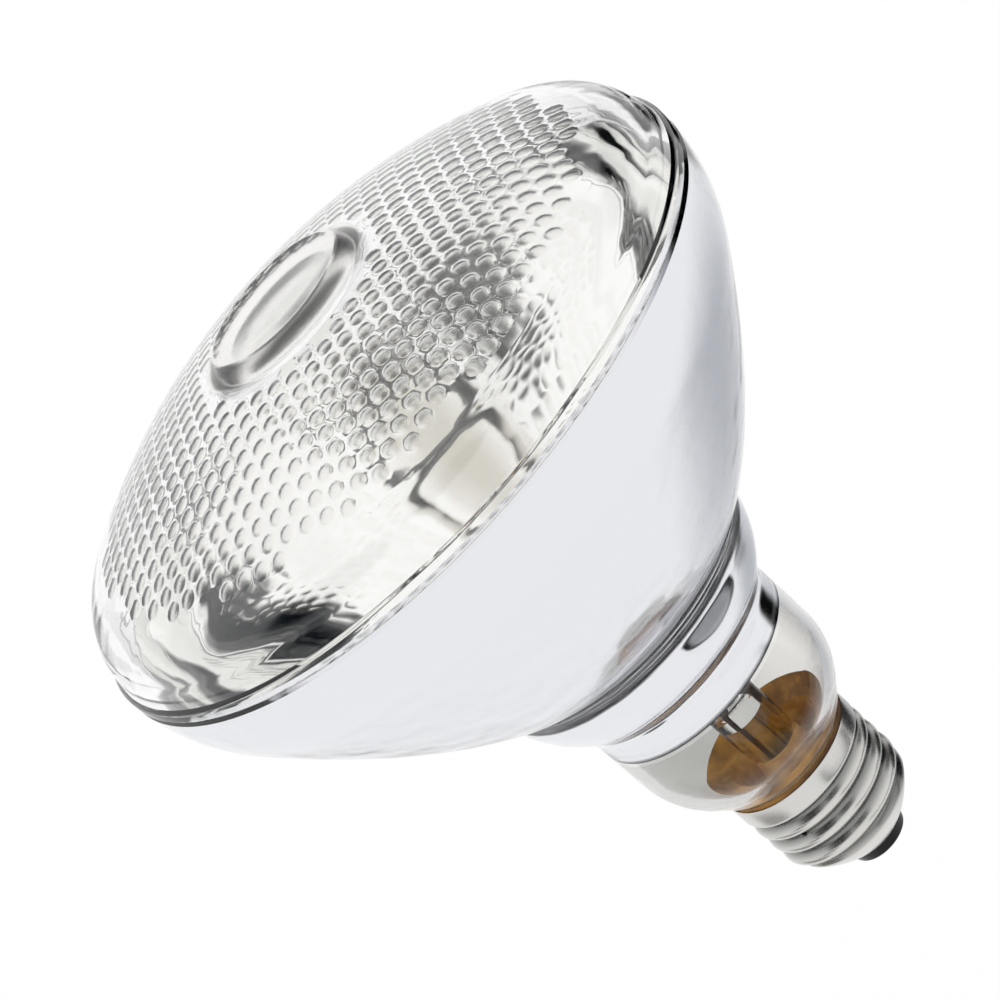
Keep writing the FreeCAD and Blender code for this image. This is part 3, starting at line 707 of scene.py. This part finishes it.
def make_reflector(glass, shaded_neck_glass, film, cement, lightened_throat_cement):
    """One section, from the throat up the outside to the rim and down the mirror, finished by height."""
    collar_bore = COLLAR_RADIUS - COLLAR_WALL
    neck_bore = NECK_RADIUS - NECK_WALL
    throat_bore = THROAT_RADIUS - THROAT_WALL
    cone = Vector((HEEL_RADIUS - CONE_RADIUS, HEEL_HEIGHT - CONE_HEIGHT)).normalized()
    inward, upward = NECK_WALL * cone.y, NECK_WALL * cone.x
    heel = (HEEL_RADIUS, HEEL_HEIGHT)
    inner_heel = (HEEL_RADIUS - inward, HEEL_HEIGHT + upward)
    low_glass = glass_place(BOWL_HEEL)
    throat_edge = THROAT_END + THROAT_CHAMFER
    profile = [(throat_bore, throat_edge), (throat_bore + THROAT_CHAMFER, THROAT_END)]
    profile += [(THROAT_RADIUS - THROAT_CHAMFER, THROAT_END), (THROAT_RADIUS, throat_edge)]
    profile += [(THROAT_RADIUS, THROAT_TOP), (CONE_RADIUS, CONE_HEIGHT)]
    profile += [between((CONE_RADIUS, CONE_HEIGHT), heel, share) for share in CONE_SHARES]
    profile += [heel] + arc(heel, (NECK_RADIUS, NECK_BOTTOM), HEEL_ROUND, count=8)
    profile += [(NECK_RADIUS, FILM_FOOT), (NECK_RADIUS, NECK_TOP - NECK_EDGE), (NECK_RADIUS, NECK_TOP)]
    profile += arc((NECK_RADIUS, NECK_TOP), (FOOT_RADIUS, COLLAR_FOOT), -FOOT_ROUND, count=6)
    profile += arc((FOOT_RADIUS, COLLAR_FOOT), (COLLAR_RADIUS, COLLAR_TOP), COLLAR_ROUND, count=10)
    groove = (COLLAR_RADIUS + GROOVE_STEP, low_glass[1] - GROOVE_DROP)
    profile += [groove] + arc(groove, glass_place(BOWL_HEEL + GROOVE_REACH), -GROOVE_ROUND, count=5)
    profile += [glass_place(radius) for radius in spaced(BOWL_LOW, BOWL_TOP, count=24)]
    rim_arc = arc(glass_place(BOWL_TOP), (RIM_RADIUS, SEAM_HEIGHT), RIM_ROUND + BOWL_WALL, count=14)
    rim_top = SEAM_HEIGHT - SEAM_LINE
    profile += rim_arc[:-1]
    profile += [(RIM_RADIUS, rim_top - RIM_CHAMFER), (RIM_RADIUS - RIM_CHAMFER, rim_top)]
    inner_side = RIM_RADIUS - RIM_WALL
    profile += [(inner_side, rim_top)]
    profile += arc((inner_side, rim_top), mirror_place(BOWL_TOP), -RIM_ROUND, count=12)
    profile += [mirror_place(radius) for radius in spaced(MIRROR_TOP, collar_bore, count=26)]
    profile += [(collar_bore, COLLAR_TOP)]
    inner_foot = (FOOT_RADIUS - COLLAR_WALL, COLLAR_FOOT)
    profile += arc((collar_bore, COLLAR_TOP), inner_foot, -(COLLAR_ROUND - COLLAR_WALL), count=10)
    profile += [(neck_bore, NECK_TOP), (neck_bore, FILM_FOOT), (neck_bore, NECK_BOTTOM)]
    profile += arc((neck_bore, NECK_BOTTOM), inner_heel, -(HEEL_ROUND - NECK_WALL), count=8)
    inner_cone = (CONE_RADIUS - inward, CONE_HEIGHT + upward)
    share = (STAIN_TOP - inner_cone[1]) / (inner_heel[1] - inner_cone[1])
    profile += [between(inner_cone, inner_heel, share), inner_cone, (throat_bore, THROAT_TOP + THROAT_WALL)]
    reflector = turned("reflector", profile)
    # The cements behind the glass are copies painted lighter, standing in for light.
    dress(reflector, "aluminised_glass", glass, shaded_neck_glass, film, cement, lightened_throat_cement)
    clear, on_neck, filmed, stained, in_throat = range(5)
    for face in reflector.data.polygons:
        outward = face.normal.to_2d().dot(face.center.to_2d()) > 0
        height = face.center.z / MM
        if height > FILM_FOOT:
            face.material_index = clear if outward else filmed
        elif height < CONE_HEIGHT:
            face.material_index = in_throat
        elif height < STAIN_TOP and not outward:
            face.material_index = stained
        else:
            face.material_index = on_neck
    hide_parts("reflector")


def make_stem(glass, cement):
    """The flared tube, turned, with its flat press joined on and cement on its foot."""
    seal = THROAT_RADIUS - THROAT_WALL
    bore = STEM_RADIUS - STEM_WALL
    profile = [(seal - STEM_WALL, THROAT_END), (seal, THROAT_END), (seal, SEAL_TOP)]
    profile += arc((seal, SEAL_TOP), (STEM_RADIUS, FLARE_TOP), -FLARE_ROUND, count=14)
    tube_edge = (STEM_RADIUS, TUBE_TOP - TUBE_ROUND)
    profile += [tube_edge] + arc(tube_edge, (STEM_RADIUS - TUBE_ROUND, TUBE_TOP), TUBE_ROUND, count=5)
    profile += [(0, TUBE_TOP), (0, BORE_TOP), (bore, BORE_TOP), (bore, FLARE_TOP)]
    profile += arc((bore, FLARE_TOP), (seal - STEM_WALL, SEAL_TOP), FLARE_ROUND + STEM_WALL, count=14)
    stem = turned("stem_flare", profile, SMALL_GLASS_STEPS)
    deselect()
    middle = (PRESS_FOOT + PRESS_TOP) / 2
    bpy.ops.mesh.primitive_cube_add(size=MM, location=(0, 0, middle * MM))
    press = bpy.context.object
    press.scale = (PRESS_WIDTH, PRESS_DEPTH, PRESS_TOP - PRESS_FOOT)
    bpy.ops.object.transform_apply(location=True, rotation=True, scale=True)
    bpy.ops.object.mode_set(mode="EDIT")
    bpy.ops.mesh.select_all(action="SELECT")
    bpy.ops.mesh.bevel(offset=PRESS_BEVEL * MM, segments=5, affect="EDGES")
    bpy.ops.transform.rotate(value=-LEAD_AZIMUTH, orient_axis="Z", center_override=(0, 0, 0))
    bpy.ops.object.mode_set(mode="OBJECT")
    press.select_set(False)
    bpy.context.view_layer.objects.active = stem
    join = stem.modifiers.new("press", "BOOLEAN")
    join.operation = "UNION"
    join.object = press
    bpy.ops.object.modifier_apply(modifier=join.name)
    bpy.data.objects.remove(press)
    stem.select_set(True)
    bpy.ops.object.shade_smooth_by_angle(angle=STEM_SHARP)
    # The stem's foot takes the cement copy painted lightest.
    dress(stem, "clear_glass", glass, cement)
    cemented = 1
    for face in stem.data.polygons:
        if face.center.z < CEMENT_REACH * MM:
            face.material_index = cemented
    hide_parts("stem_flare")


def groove_depth(height):
    """How deep the thread's groove is at a height, fading out at both ends."""
    low, high = THREAD_SPAN
    share = min((height - low) / THREAD_FADE, (high - height) / THREAD_FADE, 1)
    return THREAD_DEPTH * share ** 2 * (3 - 2 * share) if share > 0 else 0


def make_screw_shell(nickel):
    """A turned sheet whose wall is rolled to a helical groove and struck with a punch mark."""
    threaded = spaced(THREAD_START, THREAD_SPAN[1], THREAD_ROWS)
    bore = CAP_RADIUS - SHEET_WALL
    dome = arc((LIP_RADIUS, LIP_HEIGHT), (bore, CAP_DOME_TOP), CAP_DOME_ROUND, count=16)
    outer = [(LIP_RADIUS, LIP_HEIGHT)] + dome + [(CAP_RADIUS, height) for height in threaded]
    outer += [(CAP_RADIUS, CAP_RIM - CAP_EDGE_HEIGHT), (CAP_RADIUS - CAP_EDGE_STEP, CAP_RIM)]
    inner = [(bore, CAP_RIM), (bore, CAP_RIM - CAP_EDGE_HEIGHT)]
    inner += [(bore, height) for height in reversed(threaded)]
    inner += [(across - CAP_DOME_INSET, up + CAP_DOME_LIFT) for across, up in reversed(dome)]
    inner += [(LIP_RADIUS - CAP_DOME_INSET, LIP_HEIGHT + CAP_DOME_LIFT)]
    shell = turned("screw_shell", outer + inner, SHELL_STEPS, SHELL_SHARP)
    punch = punch_place(CAP_RADIUS)
    for vertex in shell.data.vertices:
        height = vertex.co.z / MM
        turn = math.atan2(vertex.co.y, vertex.co.x) - LEAD_AZIMUTH
        wave = (1 + math.cos(2 * math.pi * (height - THREAD_FOOT) / THREAD_PITCH - turn)) / 2
        radius = vertex.co.to_2d().length
        dent = PUNCH_DEPTH * max(0, 1 - (vertex.co - punch).length / (PUNCH_RADIUS * MM))
        vertex.co.xy *= 1 - (groove_depth(height) * wave ** THREAD_POWER + dent) * MM / radius
    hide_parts("screw_shell")
    dress(shell, "nickel_plate", nickel)


def make_insulator(glass):
    """The glass in the cap's dome, with a rounded nose and a hole for the lead."""
    lip = (LIP_RADIUS - CAP_DOME_INSET, LIP_HEIGHT)
    nose = (NOSE_RADIUS - NOSE_EDGE, NOSE_HEIGHT)
    nose_side = (NOSE_RADIUS + NOSE_SPREAD, NOSE_HEIGHT + NOSE_RISE)
    profile = [(EYELET_RADIUS, NOSE_HEIGHT), nose] + arc(nose, nose_side, NOSE_ROUND, count=6)
    profile += [lip] + arc(lip, (INSULATOR_RADIUS, INSULATOR_TOP), CAP_DOME_ROUND, count=10)
    profile += [(EYELET_RADIUS, INSULATOR_TOP)]
    insulator = turned("insulator", profile, SMALL_GLASS_STEPS)
    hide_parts("insulator")
    dress(insulator, "black_glass", glass)


def make_cement(cement):
    """The cement between the throat and the cap, with a fillet up to the glass."""
    band = CAP_RADIUS - SHEET_WALL
    behind = CAP_RADIUS - THREAD_DEPTH - SHEET_WALL - CEMENT_GAP
    bead = (band + CEMENT_BULGE, CAP_RIM + CEMENT_BULGE)
    profile = [(THROAT_RADIUS, THROAT_END), (behind, THROAT_END), (behind, BAND_FOOT)]
    profile += [(band, BAND_FOOT + SHEET_WALL), (band, CAP_RIM), bead]
    profile += arc(bead, (CONE_RADIUS, CONE_HEIGHT), -CEMENT_ROUND, count=5)
    profile += [(THROAT_RADIUS, THROAT_TOP)]
    cement_ring = turned("basing_cement", profile, CEMENT_STEPS)
    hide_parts("basing_cement")
    dress(cement_ring, "cement", cement)


def make_contact(brass, solder):
    """The contact plate with a rounded edge, and the flat drop of solder on it."""
    flat_edge = (CONTACT_RADIUS - CONTACT_ROUND, CONTACT_HEIGHT)
    side_edge = (CONTACT_RADIUS, CONTACT_HEIGHT + CONTACT_ROUND)
    profile = [(LEAD_RADIUS, CONTACT_HEIGHT), flat_edge] + arc(flat_edge, side_edge, CONTACT_ROUND, count=5)
    profile += [(CONTACT_RADIUS, NOSE_HEIGHT), (LEAD_RADIUS, NOSE_HEIGHT)]
    plate = turned("centre_contact", profile, CONTACT_STEPS)
    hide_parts("centre_contact")
    dress(plate, "contact_brass", brass)
    profile = [(0, 0), (SOLDER_FLAT, 0)]
    profile += arc((SOLDER_FLAT, 0), (SOLDER_RADIUS, CONTACT_HEIGHT), SOLDER_ROUND, count=6)
    profile += [(0, CONTACT_HEIGHT)]
    drop = turned("contact_solder", profile, CONTACT_STEPS)
    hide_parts("contact_solder")
    dress(drop, "solder", solder)


def make_filament(tungsten):
    """Coiled wire along a half ring at the mirror's focus."""
    height = MIRROR_VERTEX + FOCAL_LENGTH
    sweep = math.pi + 2 * COIL_OVERRUN
    turns = round(sweep * FILAMENT_RADIUS / COIL_PITCH)
    steps = turns * COIL_STEPS
    curve = bpy.data.curves.new("filament", "CURVE")
    curve.dimensions = "3D"
    curve.bevel_depth = COIL_WIRE * MM
    curve.bevel_resolution = 1
    curve.use_fill_caps = True
    spline = curve.splines.new("POLY")
    spline.points.add(steps)
    reach = COIL_RADIUS - COIL_WIRE
    for step, point in enumerate(spline.points):
        along = LEAD_AZIMUTH - COIL_OVERRUN + sweep * step / steps
        turn = 2 * math.pi * turns * step / steps
        radius = FILAMENT_RADIUS + reach * math.cos(turn)
        place = (radius * math.cos(along), radius * math.sin(along), height + reach * math.sin(turn))
        point.co = (*(coordinate * MM for coordinate in place), 1)
    coil = bpy.data.objects.new("filament", curve)
    bpy.context.collection.objects.link(coil)
    deselect()
    coil.select_set(True)
    bpy.context.view_layer.objects.active = coil
    bpy.ops.object.convert(target="MESH")
    bpy.ops.object.shade_smooth()
    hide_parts("filament")
    dress(coil, "tungsten", tungsten)


def finish_wires(glass, nickel_wire, copper_wire, molybdenum):
    """Give the wires and glass rods that stay as packed their finish."""
    finishes = {"exhaust_tube": glass, "support_rod": glass}
    for lead in ("side", "centre"):
        finishes[f"inner_lead_{lead}"] = nickel_wire
        finishes[f"outer_lead_{lead}"] = copper_wire
    for number in (1, 2, 3):
        finishes[f"filament_support_{number}"] = molybdenum
    for node, material in finishes.items():
        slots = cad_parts[node].data.materials
        slots.clear()
        slots.append(material)


# Stage

def make_card(name, centre, aim, size, colour, rim_colour, softness, slants=ANY_SLANT):
    """An oval card with a soft edge that faces a point, seen only in mirrors and glass, at some slants."""
    deselect()
    bpy.ops.mesh.primitive_plane_add(size=1)
    card = bpy.context.object
    card.name = name
    centre = Vector(centre)
    facing = (Vector(aim) - centre).to_track_quat("Z", "Y").to_matrix().to_4x4()
    spread = Matrix.Diagonal((*(side * MM for side in size), 1, 1))
    card.matrix_world = Matrix.Translation(centre * MM) @ facing @ spread
    material, tree, shader, place = new_material(name)
    reach = add_node(tree, "ShaderNodeVectorMath", {0: place}, operation="LENGTH")
    rim = add_node(tree, "ShaderNodeMapRange", {
        "Value": reach.outputs["Value"], "From Min": CARD_RIM[0], "From Max": CARD_RIM[1],
    }, interpolation_type="SMOOTHSTEP")
    tone = add_node(tree, "ShaderNodeMix", {
        "Factor": rim.outputs["Result"], "A": linear(colour), "B": linear(rim_colour),
    }, data_type="RGBA")
    tree.links.new(tone.outputs["Result"], shader.inputs["Base Color"])
    shader.inputs["Roughness"].default_value = 1.0
    shader.inputs["Specular IOR Level"].default_value = 0.0
    cover = add_node(tree, "ShaderNodeMapRange", {
        "Value": reach.outputs["Value"], "From Min": CARD_EDGE, "From Max": CARD_EDGE * (1 - softness),
    }, interpolation_type="SMOOTHSTEP")
    slant = add_node(tree, "ShaderNodeLayerWeight", {"Blend": 0.5})
    seen = cover.outputs["Result"]
    for limit, fade in zip(slants, (SLANT_FADE, -SLANT_FADE)):
        open_side = add_node(tree, "ShaderNodeMapRange", {
            "Value": slant.outputs["Facing"], "From Min": limit, "From Max": limit + fade,
        }, interpolation_type="SMOOTHSTEP")
        seen = add_node(tree, "ShaderNodeMath", {
            0: seen, 1: open_side.outputs["Result"],
        }, operation="MULTIPLY").outputs["Value"]
    tree.links.new(seen, shader.inputs["Alpha"])
    card.data.materials.append(material)
    card.visible_camera = False
    card.visible_diffuse = False
    card.visible_shadow = False


def far_place(azimuth, elevation):
    """A place far from the lamp's middle, from angles in degrees."""
    turn, rise = math.radians(azimuth), math.radians(elevation)
    way = Vector((math.cos(turn) * math.cos(rise), math.sin(turn) * math.cos(rise), math.sin(rise)))
    return Vector(LAMP_MIDDLE) + way * CARD_DISTANCE


def make_cards():
    """Cards that give the mirrors and the glass something other than white to show."""
    for name, azimuth, elevation, size, colour, softness in (
        ("black card right above", 27, 29, (540, 230), "#0c1016", 0.35),
        ("dark card left", 202, 4, (300, 150), "#0c0c0c", 0.4),
        ("dark card left above", 215, 37, (410, 330), "#080808", 0.35),
        ("dark card behind", 56, -9, (210, 150), "#151515", 0.5),
        ("dark card in front", 264, 47, (260, 210), "#080808", 0.3),
        ("grey card above", 262, 66, (420, 320), "#d6d3ca", 0.9),
        ("grey card right below", 42, -42, (660, 540), "#c4c6ca", 0.9),
    ):
        make_card(name, far_place(azimuth, elevation), LAMP_MIDDLE, size, colour, colour, softness)
    for name, centre, aim, size, colour, rim_colour, softness, slants in (
        ("black card right", (64, 14, 4), (0, 0, 4), (60, 86),
         "#0a0a0a", "#0a0a0a", 0.3, LEVEL_SLANT),
        ("window card right", (45, -49, -8), (0, 0, -8), (104, 70),
         "#a5a6a8", "#0c0c0c", 0.12, STEEP_SLANT),
        ("grey card left", (-55, -4, -8), (0, -4, -8), (76, 48),
         "#a3a29f", "#a3a29f", 0.6, LEVEL_SLANT),
    ):
        make_card(name, centre, aim, size, colour, rim_colour, softness, slants)


def make_floor():
    """A white floor far below the lamp."""
    deselect()
    bpy.ops.mesh.primitive_plane_add(size=FLOOR_SIZE * MM, location=(0, 0, FLOOR_HEIGHT * MM))
    floor = bpy.context.object
    floor.name = "floor"
    material, _, shader, _ = new_material("white studio floor")
    shader.inputs["Base Color"].default_value = linear("#ffffff")
    shader.inputs["Roughness"].default_value = 1.0
    shader.inputs["Specular IOR Level"].default_value = 0.0
    floor.data.materials.append(material)


def make_world():
    """Even white light from all round."""
    world = bpy.data.worlds.new("white studio")
    bpy.context.scene.world = world
    world.use_nodes = True
    world.node_tree.nodes["Background"].inputs["Color"].default_value = linear("#ffffff")
    world.node_tree.nodes["Background"].inputs["Strength"].default_value = 1.0


def make_camera():
    """The camera that stands where the photograph was taken from."""
    data = bpy.data.cameras.new("camera")
    data.lens = CAMERA_LENS
    data.sensor_width = CAMERA_SENSOR
    data.clip_start, data.clip_end = CAMERA_CLIP
    camera = bpy.data.objects.new("camera", data)
    bpy.context.collection.objects.link(camera)
    place = Matrix.Translation(Vector(CAMERA_PLACE) * MM)
    tilt = Matrix.Rotation(math.pi / 2 - CAMERA_DOWN, 4, "X")
    roll = Matrix.Rotation(-CAMERA_ROLL, 4, "Z")
    camera.matrix_world = place @ tilt @ roll
    bpy.context.scene.camera = camera


glass = pressed_glass()
mirror = mirror_film()
cement = basing_cement("baked basing cement", "#4a2c0a", "#a0732c")
# Painted light: the cement behind the glass and in the throat are lighter copies of the baked cement,
# standing in for light that reaches them.
lightened_sealed_cement = basing_cement("basing cement behind glass, painted lighter", "#7a5010", "#d9a046")
lightened_throat_cement = basing_cement("basing cement in the throat, painted lightest", "#b07c22", "#ffd582")
pad_glass = etched_glass("etched pad glass", 0.2)
dimple_glass = etched_glass("etched dimple glass", 0.22)
make_lens(glass, mirror, pad_glass, dimple_glass)
make_reflector(glass, hazed_side_shaded_glass(), mirror, lightened_sealed_cement, lightened_throat_cement)
make_stem(glass, lightened_throat_cement)
make_screw_shell(nickel_plate())
make_insulator(black_glass())
make_cement(cement)
# The contact's brass is drawn dark.
brass = plain_metal("dark brass", "#6a5840", 0.4)
solder = plain_metal("tin solder", "#b5b5b2", 0.35)
make_contact(brass, solder)
make_filament(plain_metal("drawn tungsten", "#6a6a6c", 0.4))
nickel_wire = plain_metal("drawn nickel", "#b9b6b0", 0.25)
copper_wire = plain_metal("oxidised copper", "#5a4a43", 0.4)
molybdenum = plain_metal("drawn molybdenum", "#8d8d90", 0.35)
finish_wires(glass, nickel_wire, copper_wire, molybdenum)
make_cards()
make_floor()
make_world()
make_camera()
bpy.context.scene.view_settings.view_transform = "Standard"
